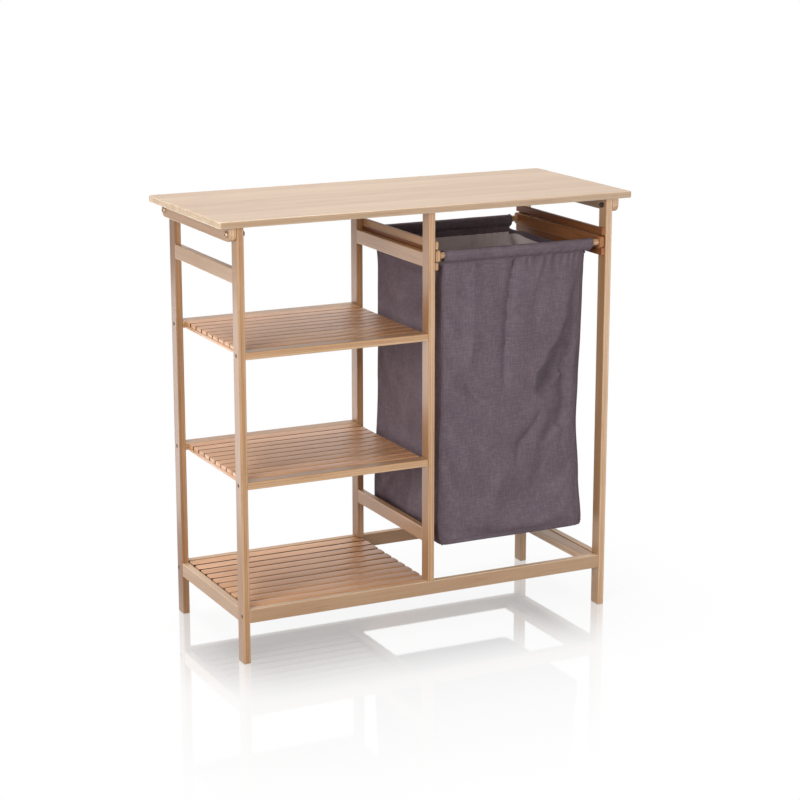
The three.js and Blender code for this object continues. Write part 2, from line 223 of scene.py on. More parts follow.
def bamboo(name, box, grain, seed, layer, stops, strip=None, across=None, shift=0.0, painted_side_shade=0.0,
           gloss=LACQUERED):
    """Laminated bamboo under a thin clear lacquer: planed flat, so its gloss is soft and even.

    Split culm strips are glued side by side. Each strip keeps its own tone, fine dark fibre bundles run
    its full length, and the plant's joints cross it as short brown bars every 300 mm or so.
    grain is the axis that the fibres follow, and across is the axis through the glued layers. shift makes
    the whole stick paler or darker, and the amount after it paints shade onto its narrow sides, as in the
    gaps of a deck: painted shade that darkens them and weakens their reflections.
    gloss is the strength of its reflections.
    """
    low, high = box
    size = high - low
    others = [i for i in range(3) if i != grain]
    if across is None:
        across = min(others, key=lambda i: size[i])
    wide = next(i for i in others if i != across)
    strip = strip or WIDER_THAN_ANY_STICK
    material = blank_material(name)
    tree = material.node_tree
    place = add_node(tree, "ShaderNodeTexCoord").outputs["Object"]
    axes = add_node(tree, "ShaderNodeSeparateXYZ", {}, {0: place})
    along = axes.outputs[grain]
    side = math_node(tree, "SUBTRACT", axes.outputs[wide], low[wide])
    depth = math_node(tree, "SUBTRACT", axes.outputs[across], low[across])

    # Which strip of the glued block a point is in, and a random tone and offset for that strip.
    layer_index = math_node(tree, "FLOOR", math_node(tree, "DIVIDE", depth, layer))
    strip_place = math_node(tree, "DIVIDE", side, strip)
    strip_index = math_node(tree, "FLOOR", strip_place)
    cell = add_node(tree, "ShaderNodeCombineXYZ", {}, {0: layer_index, 1: strip_index, 2: float(seed)})
    chance = add_node(tree, "ShaderNodeTexWhiteNoise", {"noise_dimensions": "3D"}, {0: cell.outputs[0]})
    tone = chance.outputs["Value"]
    parts = add_node(tree, "ShaderNodeSeparateXYZ", {}, {0: chance.outputs["Color"]})

    # Fibre bundles are 0.3 to 1 mm wide and some 100 mm long. The fine ones are drawn at 1.6 mm, so that
    # they still show from a few metres.
    def streaks(length_mm, width_mm, detail):
        stretched = add_node(tree, "ShaderNodeCombineXYZ", {}, {
            0: math_node(tree, "MULTIPLY", along, 1000 / length_mm),
            1: math_node(tree, "MULTIPLY", side, 1000 / width_mm),
            2: math_node(tree, "MULTIPLY", depth, 1000 / width_mm),
        })
        shifted = add_node(tree, "ShaderNodeVectorMath", {"operation": "ADD"}, {
            0: stretched.outputs[0], 1: (17.3 * seed, 5.1 * seed, 2.7 * seed)})
        return add_node(tree, "ShaderNodeTexNoise", {}, {
            "Vector": shifted.outputs[0], "Scale": 1.0, "Detail": detail, "Roughness": 0.6}).outputs[0]

    fibres = streaks(90, 1.6, 3.0)
    clouds = streaks(240, 22, 2.0)

    # The plant's joints: one narrow bar across a strip, in a place of its own on each strip. The bar is 12 mm
    # wide and its glow 55 mm.
    joint_pitch = 330 * MM
    phase = math_node(tree, "ADD", math_node(tree, "DIVIDE", along, joint_pitch), parts.outputs[1])
    from_joint = math_node(tree, "ABSOLUTE", math_node(tree, "SUBTRACT",
                           math_node(tree, "FRACT", math_node(tree, "ADD", phase, fibres)), 0.5))
    joint_bar = math_node(tree, "SUBTRACT", 1.0, math_node(tree, "MULTIPLY", from_joint, 55.0), clamp=True)
    joint_glow = math_node(tree, "SUBTRACT", 1.0, math_node(tree, "MULTIPLY", from_joint, 12.0), clamp=True)

    # How far each of these moves the tone. The last step brings the mean back to the middle of the tones.
    middle = 0.21
    shade = weighted(tree, (tone, 0.30), (fibres, 0.62), (clouds, 0.5), (joint_bar, -0.34),
                     (joint_glow, -0.08))
    colour = ramp(tree, math_node(tree, "SUBTRACT", shade, middle - shift), stops)

    # Glue lines: a hair-thin dark line between strips, drawn 0.6 mm wide.
    glue = 0.6 * MM
    edge = math_node(tree, "PINGPONG", depth, layer / 2)
    line = math_node(tree, "SUBTRACT", 1.0, math_node(tree, "DIVIDE", edge, glue), clamp=True)
    if strip < WIDER_THAN_ANY_STICK:
        strip_edge = math_node(tree, "PINGPONG", side, strip / 2)
        strip_line = math_node(tree, "SUBTRACT", 1.0, math_node(tree, "DIVIDE", strip_edge, glue), clamp=True)
        line = math_node(tree, "MAXIMUM", line, strip_line)
    dark = add_node(tree, "ShaderNodeMix", {"data_type": "RGBA", "blend_type": "MULTIPLY"}, {
        0: math_node(tree, "MULTIPLY", line, 0.5), 6: colour, 7: linear("#9A7A5A")})

    # Painted shade on the narrow sides, from the rounded upper edge down: darker, and with weaker
    # reflections.
    if painted_side_shade:
        facing = add_node(tree, "ShaderNodeSeparateXYZ", {}, {
            0: add_node(tree, "ShaderNodeTexCoord").outputs["Normal"]})
        turned = math_node(tree, "ABSOLUTE", facing.outputs[wide])
        side_shade_mask = add_node(tree, "ShaderNodeMapRange", {"interpolation_type": "SMOOTHSTEP"}, {
            "Value": turned, "From Min": 0.25, "From Max": 0.65, "To Min": 0.0, "To Max": painted_side_shade}).outputs[0]
        dark = add_node(tree, "ShaderNodeMix", {"data_type": "RGBA", "blend_type": "MULTIPLY"}, {
            0: side_shade_mask, 6: dark.outputs[2], 7: linear("#4A3220")})
        gloss = math_node(tree, "MULTIPLY", math_node(tree, "SUBTRACT", 1.0, side_shade_mask), gloss)

    rough = math_node(tree, "ADD", math_node(tree, "MULTIPLY", fibres, 0.12), 0.28)
    height = weighted(tree, (fibres, 1.0), (line, -0.6))
    bump = add_node(tree, "ShaderNodeBump", {}, {"Strength": 0.25, "Distance": 0.25 * MM, "Height": height})
    shader = add_node(tree, "ShaderNodeBsdfPrincipled", {}, {
        "Base Color": dark.outputs[2], "Roughness": rough, "Normal": bump.outputs[0],
        "IOR": 1.5, "Specular IOR Level": gloss})
    add_node(tree, "ShaderNodeOutputMaterial", {}, {0: shader.outputs[0]})
    return material


def finish_of(name):
    """The tone, with any painted shade or light, and the gloss of one stick, by its name."""
    return {
        "shift": next((tone for start, tone in STICK_TONE_AND_SHADE.items() if name.startswith(start)), 0.0),
        "stops": SHADED_RED_TONES if name.startswith(SHADED_RED_STICKS) else BAR_TONES,
        "gloss": WAXED if name.startswith(WAXED_STICKS) else LACQUERED,
    }


def dress(obj, material):
    """Puts one material on all of an object's faces."""
    obj.data.materials.clear()
    obj.data.materials.append(material)


def longest_axis(box):
    size = box[1] - box[0]
    return max(range(3), key=lambda i: size[i])


def dress_sticks(starts, first_seed, layer):
    """Gives every stick whose name has one of these starts a wood of its own."""
    names = [name for name in sorted(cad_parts) if name.startswith(starts)]
    for seed, name in enumerate(names, start=first_seed):
        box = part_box(name)
        dress(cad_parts[name], bamboo(f"bamboo_{name}", box, longest_axis(box), seed, layer,
                                           **finish_of(name)))


class SORTER_OT_board(bpy.types.Operator):
    """Finish the top board: edge-glued bamboo strips under clear lacquer"""
    bl_idname = "sorter.board"
    bl_label = "Top board"

    def execute(self, context):
        sizes = context.scene.sorter_sizes
        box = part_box("top_board")
        layer = (box[1].z - box[0].z) / 3
        material = bamboo("bamboo_top_board", box, 0, 3, layer, BOARD_TONES, strip=sizes.board_strip,
                          across=2)
        dress(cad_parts["top_board"], material)
        return {"FINISHED"}


class SORTER_OT_bars(bpy.types.Operator):
    """Finish the legs, posts, stretchers, rails and cleats, each as a stick of its own"""
    bl_idname = "sorter.bars"
    bl_label = "Frame bars"

    def execute(self, context):
        starts = ("leg_front", "leg_rear", "post_front", "post_rear", "stretcher", "bottom_rail",
                  "bottom_bar", "upper_rail", "lower_rail", "upper_shelf_rail", "middle_shelf_rail",
                  "cleat_left", "cleat_right")
        dress_sticks(starts, 11, context.scene.sorter_sizes.lamination)
        return {"FINISHED"}


class SORTER_OT_carriage(bpy.types.Operator):
    """Finish the guide strips, the carriage bars and the dowels"""
    bl_idname = "sorter.carriage"
    bl_label = "Carriage and guides"

    def execute(self, context):
        layer = context.scene.sorter_sizes.lamination
        dress_sticks(("guide_", "carriage_bar", "dowel_"), 61, layer)

        # A thin backing strip closes the slit between each upper guide and the rail below it. It stands in
        # the play beside the carriage bar.
        thickness, gap = 0.8 * MM, 0.1 * MM
        rail_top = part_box("upper_rail_right")[1].z
        for seed, side in enumerate(("left", "right"), start=75):
            low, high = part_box(f"guide_{side}_upper")
            x = low.x if side == "left" else high.x - thickness
            box = (Vector((x, low.y, rail_top)), Vector((x + thickness, high.y, low.z - gap)))
            strip = block(f"guide_{side}_backing", *box, edge=0.2 * MM)
            dress(strip, bamboo(f"bamboo_{strip.name}", box, 1, seed, layer, **finish_of("guide_right")))
            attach(strip, "frame")
        return {"FINISHED"}


# ---- Slatted shelves ----

def block(name, low, high, corner=0.0, edge=1.0 * MM):
    """A stick between two corners. Its upright corners are rounded by corner and all its edges by edge."""
    deselect()
    centre = (low + high) / 2
    bpy.ops.mesh.primitive_cube_add(size=1, location=centre, scale=high - low)
    obj = bpy.context.object
    obj.name = name
    obj.data.name = name
    bpy.ops.object.transform_apply(location=True, rotation=True, scale=True)
    if corner:
        bpy.ops.object.mode_set(mode="EDIT")
        bpy.ops.mesh.select_mode(type="EDGE")
        bpy.ops.mesh.select_all(action="DESELECT")
        bpy.ops.object.mode_set(mode="OBJECT")
        for e in obj.data.edges:
            a, b = (obj.data.vertices[i].co for i in e.vertices)
            e.select = abs(a.z - b.z) > 1e-6 and abs(a.x - b.x) < 1e-6 and abs(a.y - b.y) < 1e-6
        bpy.ops.object.mode_set(mode="EDIT")
        bpy.ops.mesh.bevel(offset=corner, segments=3, affect="EDGES")
        bpy.ops.object.mode_set(mode="OBJECT")
    apply_modifier(obj, "BEVEL", width=edge, segments=2, limit_method="ANGLE", angle_limit=math.radians(50))
    bpy.ops.object.shade_smooth_by_angle(angle=math.radians(35))
    return obj


def put_in_scene(name, data):
    obj = bpy.data.objects.new(name, data)
    bpy.context.scene.collection.objects.link(obj)
    return obj


def copy_of(obj, name, shift):
    """A copy with its own mesh, moved in its mesh."""
    twin = obj.copy()
    twin.data = obj.data.copy()
    twin.name = name
    twin.data.name = name
    bpy.context.scene.collection.objects.link(twin)
    for vertex in twin.data.vertices:
        vertex.co += shift
    return twin


class SORTER_OT_shelves(bpy.types.Operator):
    """Model the three slatted decks: ten slats each, glued across two bearers"""
    bl_idname = "sorter.shelves"
    bl_label = "Slatted shelves"

    def execute(self, context):
        sizes = context.scene.sorter_sizes
        slats = 10
        for level, width, corner in (("upper", 23.7 * MM, 1.5 * MM), ("middle", 23.7 * MM, 1.5 * MM),
                                     ("bottom", 25.4 * MM, 5 * MM)):
            node = f"{level}_shelf_deck"
            low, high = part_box(node)
            pitch = (high.y - low.y - width) / (slats - 1)
            under = high.z - sizes.slat_thickness
            first = block(f"{level}_slat_01", Vector((low.x, low.y, under)),
                          Vector((high.x, low.y + width, high.z)), corner, sizes.slat_edge)
            pieces = [first]
            for i in range(1, slats):
                pieces.append(copy_of(first, f"{level}_slat_{i + 1:02d}", Vector((0, i * pitch, 0))))
            right = high.x - sizes.bearer_width - (8 * MM if level == "bottom" else 0)
            for side, x in (("left", low.x), ("right", right)):
                # The bearers end 1 mm short of the outer slats' edges.
                pieces.append(block(f"{level}_bearer_{side}", Vector((x, low.y + 1 * MM, low.z)),
                                    Vector((x + sizes.bearer_width, high.y - 1 * MM, under))))
            for seed, piece in enumerate(pieces, start={"upper": 81, "middle": 101, "bottom": 121}[level]):
                corners = [v.co for v in piece.data.vertices]
                box = (Vector(map(min, *corners)), Vector(map(max, *corners)))
                bearer = "bearer" in piece.name
                # Painted shade on the slats' sides, stronger towards the back of a deck, where little light
                # reaches them.
                painted_side_shade = 0.0 if bearer else mix(0.15, 1.0, pieces.index(piece) / (slats - 1))
                dress(piece, bamboo(f"bamboo_{piece.name}", box, 1 if bearer else 0, seed, sizes.lamination,
                                    SLAT_TONES, painted_side_shade=painted_side_shade))
                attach(piece, "frame")
                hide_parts(node)
        return {"FINISHED"}


# ---- Fasteners ----

def plated_steel(name, tone, dark_tone, roughness):
    """Zinc-plated steel, tumbled: a soft metal gloss with faint cloudy patches."""
    material = blank_material(name)
    tree = material.node_tree
    place = add_node(tree, "ShaderNodeTexCoord").outputs["Object"]
    patches = add_node(tree, "ShaderNodeTexNoise", {}, {"Vector": place, "Scale": 900.0, "Detail": 4.0})
    colour = ramp(tree, patches.outputs[0], [(0.3, dark_tone), (0.7, tone)])
    rough = math_node(tree, "ADD", math_node(tree, "MULTIPLY", patches.outputs[0], 0.15), roughness)
    bump = add_node(tree, "ShaderNodeBump", {}, {
        "Strength": 0.15, "Distance": 0.05 * MM, "Height": patches.outputs[0]})
    shader = add_node(tree, "ShaderNodeBsdfPrincipled", {}, {
        "Base Color": colour, "Metallic": 1.0, "Roughness": rough, "Normal": bump.outputs[0]})
    add_node(tree, "ShaderNodeOutputMaterial", {}, {0: shader.outputs[0]})
    return material


class SORTER_OT_fasteners(bpy.types.Operator):
    """Finish the bolts, cap nuts and wood screws"""
    bl_idname = "sorter.fasteners"
    bl_label = "Bolts and screws"

    def execute(self, context):
        bright = plated_steel("satin_zinc", "#B8A18B", "#957F6A", 0.48)
        dark = plated_steel("black_zinc", "#5B544E", "#3C3733", 0.4)
        for name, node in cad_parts.items():
            if name.startswith("cleat_bolt"):
                dress(node, bright)
            elif "screw" in name or name.startswith("cleat_nut"):
                dress(node, dark)
        return {"FINISHED"}


# ---- The bag ----

def linen(name, stops, slub):
    """Plain-woven linen look: matt, with thick and thin places in the yarns that run both ways.

    The yarns are 0.7 mm apart. The weave's relief is drawn at 1.4 mm so that it still shows. slub is how
    far the thick and thin places move the tone.
    """
    material = blank_material(name)
    tree = material.node_tree
    uv = add_node(tree, "ShaderNodeUVMap", {"uv_map": "cloth"}).outputs[0]
    axes = add_node(tree, "ShaderNodeSeparateXYZ", {}, {0: uv})
    u, v = axes.outputs[0], axes.outputs[1]

    def yarns(first_mm, second_mm, shift):
        stretched = add_node(tree, "ShaderNodeCombineXYZ", {}, {
            0: math_node(tree, "MULTIPLY", u, 1000 / first_mm),
            1: math_node(tree, "MULTIPLY", v, 1000 / second_mm), 2: shift})
        return add_node(tree, "ShaderNodeTexNoise", {}, {
            "Vector": stretched.outputs[0], "Scale": 1.0, "Detail": 2.0, "Roughness": 0.55}).outputs[0]

    weft = yarns(14, 2.2, 1.7)
    warp = yarns(2.2, 14, 5.3)
    patches = yarns(45, 60, 9.1)
    by_patches = 0.25
    shade = weighted(tree, (weft, slub), (warp, slub), (patches, by_patches))
    colour = ramp(tree, math_node(tree, "SUBTRACT", shade, slub + by_patches / 2 - 0.5), stops)

    pitch = 1.4 * MM
    across = math_node(tree, "SINE", math_node(tree, "MULTIPLY", u, 2 * math.pi / pitch))
    down = math_node(tree, "SINE", math_node(tree, "MULTIPLY", v, 2 * math.pi / pitch))
    weave = math_node(tree, "MULTIPLY", across, down)
    height = weighted(tree, (weave, 0.25), (weft, 1.0), (warp, 1.0))
    bump = add_node(tree, "ShaderNodeBump", {}, {"Strength": 0.5, "Distance": 0.5 * MM, "Height": height})
    shader = add_node(tree, "ShaderNodeBsdfPrincipled", {}, {
        "Base Color": colour, "Roughness": 0.92, "Normal": bump.outputs[0], "IOR": 1.4,
        "Specular IOR Level": 0.1, "Sheen Weight": 0.03, "Sheen Roughness": 0.5})
    add_node(tree, "ShaderNodeOutputMaterial", {}, {0: shader.outputs[0]})
    return material


OUTER_TONES = [(0.15, "#52454D"), (0.5, "#695C63"), (0.85, "#83757B")]
# A light grey lining, with painted light in its pale tones: the inside of the bag gets little light.
LINING_TONES = [(0.15, "#BFB3B2"), (0.5, "#D5C8C8"), (0.85, "#E8DDDB")]

# The panels go front, right, back, left, and a place along a panel is measured from its first seam. The
# bag's upright corners are lists of (height, place) and (height, radius) in millimetres. The right front
# corner is drawn in at half height, where the cloth sags. seam is the share of the rounded corner that
# lies on the panel before it.
CORNERS = [
    {"x": [(690, 27), (600, 25), (435, 27), (335, 23), (200, 21.5), (172, 24), (158, 29)],
     "y": [(690, -150), (640, -147), (158, -143)], "radius": [(690, 3), (158, 4)], "seam": 0.5},
    {"x": [(690, 322), (610, 325), (520, 331), (431, 334), (356, 329), (251, 329), (158, 331)],
     "y": [(690, -150), (610, -142), (520, -130), (431, -120), (356, -124), (251, -135), (158, -142)],
     "radius": [(690, 9), (640, 15), (400, 20), (250, 18), (158, 15)], "seam": 0.0},
    {"x": [(690, 327), (158, 327)], "y": [(690, 148), (620, 142), (158, 142)],
     "radius": [(690, 6), (640, 20), (400, 20), (158, 9)], "seam": 0.5},
    {"x": [(690, 29), (158, 27.5)], "y": [(690, 148), (620, 142), (158, 142)],
     "radius": [(690, 6), (655, 24), (400, 24), (200, 9)], "seam": 0.5},
]

# Where the front panel bends back towards the drawn-in corner, as (height, place along the panel).
BEND = [(690, 300), (667, 297), (635, 288), (571, 270), (528, 253), (486, 225), (452, 201), (425, 202),
        (395, 224), (350, 258), (300, 274), (158, 280)]

# How far the front panel sinks in past that bend, as (height, depth).
SUNK = [(680, 0), (620, 11), (520, 20), (455, 25), (425, 17), (385, 0)]

# Creases: panel, width before and after the line, and the line's points as (place, height, stand-out).
CREASES = [
    (0, 19, 16, [(156, 676, -9.5), (149, 635, -10.1), (144, 592, -9.5), (139, 538, -8.8), (135, 470, -5.4),
                (133, 425, -1.1)]),
    (0, 30, 22, [(262, 470, -2.7), (246, 446, -10.8), (222, 428, -8.8), (200, 424, -2.0)]),
    (0, 9, 7, [(273, 449, 1.4), (277, 441, 6.8), (281, 433, 1.4)]),
    (0, 10, 8, [(263, 352, 1.4), (272, 342, 6.8), (282, 333, 1.6)]),
    (0, 34, 14, [(286, 366, -1.4), (258, 348, -8.1), (232, 322, -1.4)]),
    (0, 20, 18, [(46, 470, -1.4), (66, 436, -11.0), (84, 418, -8.0), (100, 400, -1.4)]),
    (0, 18, 26, [(228, 392, -1.4), (200, 350, -6.8), (176, 330, -7.4), (172, 297, -1.4)]),
    (0, 24, 34, [(58, 676, 2.2), (66, 600, 5.4), (62, 520, 6.1), (52, 470, 2.0)]),
    (0, 24, 16, [(214, 676, 4.1), (205, 640, 4.6), (190, 590, 0.8)]),
    (0, 30, 34, [(150, 300, 0.8), (130, 250, 3.0), (120, 200, 1.1)]),
    (3, 46, 34, [(56, 654, 2.4), (75, 610, 4.8), (120, 576, 5.7), (181, 537, 4.5), (214, 508, 1.8)]),
    (3, 26, 18, [(79, 445, 1.2), (111, 425, 3.9), (140, 418, 1.2)]),
    (3, 40, 22, [(160, 290, -1.8), (155, 257, -4.8), (148, 190, -4.2)]),
    (3, 20, 30, [(27, 187, 1.8), (60, 214, 4.8), (97, 241, 3.6)]),
    (3, 10, 8, [(171, 331, 0.7), (166, 318, 2.4), (162, 306, 0.7)]),
    (3, 18, 18, [(118, 655, -1.2), (131, 630, -2.7), (140, 610, -1.2)]),
    (3, 22, 26, [(235, 470, 0.9), (205, 400, 2.7), (190, 350, 0.9)]),
    (1, 40, 32, [(40, 640, 4.0), (110, 560, 8.5), (190, 500, 5.0)]),
    (1, 28, 36, [(210, 400, 3.0), (150, 330, 7.0), (110, 230, 4.0)]),
    (1, 16, 10, [(80, 470, -1.2), (95, 430, -4.4), (98, 380, -1.2)]),
    (1, 22, 14, [(240, 640, -1.2), (228, 590, -4.0), (236, 540, -1.2)]),
    (2, 20, 8, [(90, 676, -5.0), (98, 600, -5.0), (120, 470, -1.5)]),
    (2, 34, 24, [(216, 600, 3.0), (190, 450, 7.0), (200, 300, 3.0)]),
    (2, 16, 20, [(60, 380, -1.2), (90, 340, -4.4), (140, 330, -1.2)]),
    (2, 24, 34, [(230, 240, 1.5), (170, 230, 4.5), (110, 260, 1.5)]),
]


def at_height(table, z):
    """Reads a table of (height, value), highest first, with even curves between its rows."""
    if z >= table[0][0]:
        return table[0][1]
    for (above, first), (below, second) in zip(table, table[1:]):
        if z >= below:
            return mix(first, second, smooth(0.0, 1.0, (above - z) / (above - below)))
    return table[-1][1]


def crease_height(panel, s, z):
    """How far creases push the cloth out, s mm along a panel and z mm above the floor."""
    total = 0.0
    for where, before, after, line in CREASES:
        if where != panel:
            continue
        nearest, lift = 1e9, 0.0
        for (s0, z0, h0), (s1, z1, h1) in zip(line, line[1:]):
            way_s, way_z = s1 - s0, z1 - z0
            length = math.hypot(way_s, way_z)
            t = min(1.0, max(0.0, ((s - s0) * way_s + (z - z0) * way_z) / length ** 2))
            off_s, off_z = s - s0 - t * way_s, z - z0 - t * way_z
            distance = math.hypot(off_s, off_z)
            if distance < nearest:
                nearest = distance
                width = before if off_s * way_z - off_z * way_s > 0 else after
                rest = max(0.0, 1.0 - distance / width)
                lift = mix(h0, h1, t) * rest * rest
        total += lift
    return total


class Bag:
    """The bag's measures in millimetres, worked out from the two dowels and the bag's solid."""

    def __init__(self, step):
        low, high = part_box("bag")
        self.dowels = []
        for name in ("dowel_front", "dowel_rear"):
            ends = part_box(name)
            self.dowels.append((ends[0] + ends[1]) / 2 / MM)
        self.width, self.depth = 300, 290
        self.hem_right = high.x / MM - 3
        self.hem_left = self.hem_right - self.width
        self.seam = self.dowels[0].z - 14
        self.side_top = self.seam - 6
        self.bottom = low.z / MM - 5
        step /= MM
        self.counts = [round(self.width / step), round(self.depth / step)] * 2
        self.steps = [self.width / self.counts[0], self.depth / self.counts[1]] * 2
        self.starts = [sum(self.counts[:k]) for k in range(4)]
        self.around = sum(self.counts)
        self.rows = round((self.side_top - self.bottom - 8) / step)

    def levels(self):
        """The heights of the rings of mesh, and how far each is drawn in to turn under the bag."""
        heights = [mix(self.side_top, self.bottom + 8, i / self.rows) for i in range(self.rows + 1)]
        turned = [(self.bottom + 4, 0.4), (self.bottom + 1.2, 1.6), (self.bottom, 4.5)]
        return [(z, 0.0) for z in heights] + turned

    def ring(self, z, turn):
        """The bag's outline at one height, as a list of (place, outward direction, panel, distance)."""
        middle = (self.dowels[0] + self.dowels[1]) / 2
        corners, radii = [], []
        for corner in CORNERS:
            place = Vector((at_height(corner["x"], z), at_height(corner["y"], z)))
            way_in = middle.xy - place
            corners.append(place + Vector((math.copysign(turn, way_in.x), math.copysign(turn, way_in.y))))
            radii.append(at_height(corner["radius"], z))
        found = []
        for k in range(4):
            start, end = corners[k], corners[(k + 1) % 4]
            before = (start - corners[k - 1]).normalized()
            way = (end - start).normalized()
            after = (corners[(k + 2) % 4] - end).normalized()
            r0, r1 = radii[k], radii[(k + 1) % 4]
            turned = CORNERS[k]["seam"] * math.pi / 2
            arc0 = r0 * (math.pi / 2 - turned)
            arc1 = r1 * CORNERS[(k + 1) % 4]["seam"] * math.pi / 2
            total = arc0 + (end - start).length - r0 - r1 + arc1
            for i in range(self.counts[k]):
                s = total * i / self.counts[k]
                if s < arc0:
                    angle = turned + s / r0
                    place = start - before * r0 * (1 - math.sin(angle)) + way * r0 * (1 - math.cos(angle))
                elif s > total - arc1:
                    angle = (s - total + arc1) / r1
                    place = end - way * r1 * (1 - math.sin(angle)) + after * r1 * (1 - math.cos(angle))
                else:
                    place = start + way * (r0 + s - arc0)
                found.append((place, k, i * self.steps[k]))
        ring = []
        for i, (place, panel, s) in enumerate(found):
            tangent = found[(i + 1) % self.around][0] - found[i - 1][0]
            ring.append((place, Vector((tangent.y, -tangent.x)).normalized(), panel, s))
        return ring

    def slack(self, panel, s, z):
        """How far the cloth hangs out of its panel's flat plane."""
        length = self.width if panel % 2 == 0 else self.depth
        middle = math.sin(math.pi * s / length)
        hang = smooth(self.side_top + 2, self.side_top - 60, z) if panel % 2 == 0 else 1.0
        lift = noise.noise(Vector((s / 110, z / 170, 7.7 + 3 * panel))) * 5.0 * middle * hang
        if panel % 2:
            lift -= 6.0 * middle * smooth(self.side_top - 150, self.side_top, z)
        if panel == 0:
            drawn = at_height(CORNERS[1]["y"], z) - at_height(CORNERS[0]["y"], z)
            bend = at_height(BEND, z)
            share = s / length - max(0.0, s - bend) / max(1.0, length - bend)
            lift += max(0.0, drawn) * share
        return lift

    def hem(self, end):
        """The hem's section: from the seam, round the dowel, and back to the seam. As (y, z)."""
        centre = self.dowels[end]
        outward = -1 if end == 0 else 1
        half = [(-2.4, -14), (2.6, -13.0), (6.6, -8.6)]
        around_dowel = 8.7
        for degrees in range(-26, 91, 17):
            a = math.radians(degrees)
            half.append((around_dowel * math.cos(a), around_dowel * math.sin(a)))
        back = [(-y - (1.9 if z < -13 else 0.0), z) for y, z in reversed(half[:-1])]
        return [(centre.y + outward * y, centre.z + z) for y, z in half + back]


# The hem's puckers, and the smaller gathers beside its stitching, which die away above and below it. They
# are stronger in the right half. TURNS are radians over the width, and the rest is in millimetres.
PUCKER_TURNS, PUCKER_OUT, PUCKER_UP = 62, 2.2, 1.2
GATHER_TURNS, GATHER_REACH = 118, 14
STITCH_LINE = 6   # above the panel's top


def uneven_wave(share, turns):
    """A wave along the hem whose length comes and goes. share runs from 0 to 1."""
    return math.sin(share * turns + 2.4 * math.sin(share * 13))


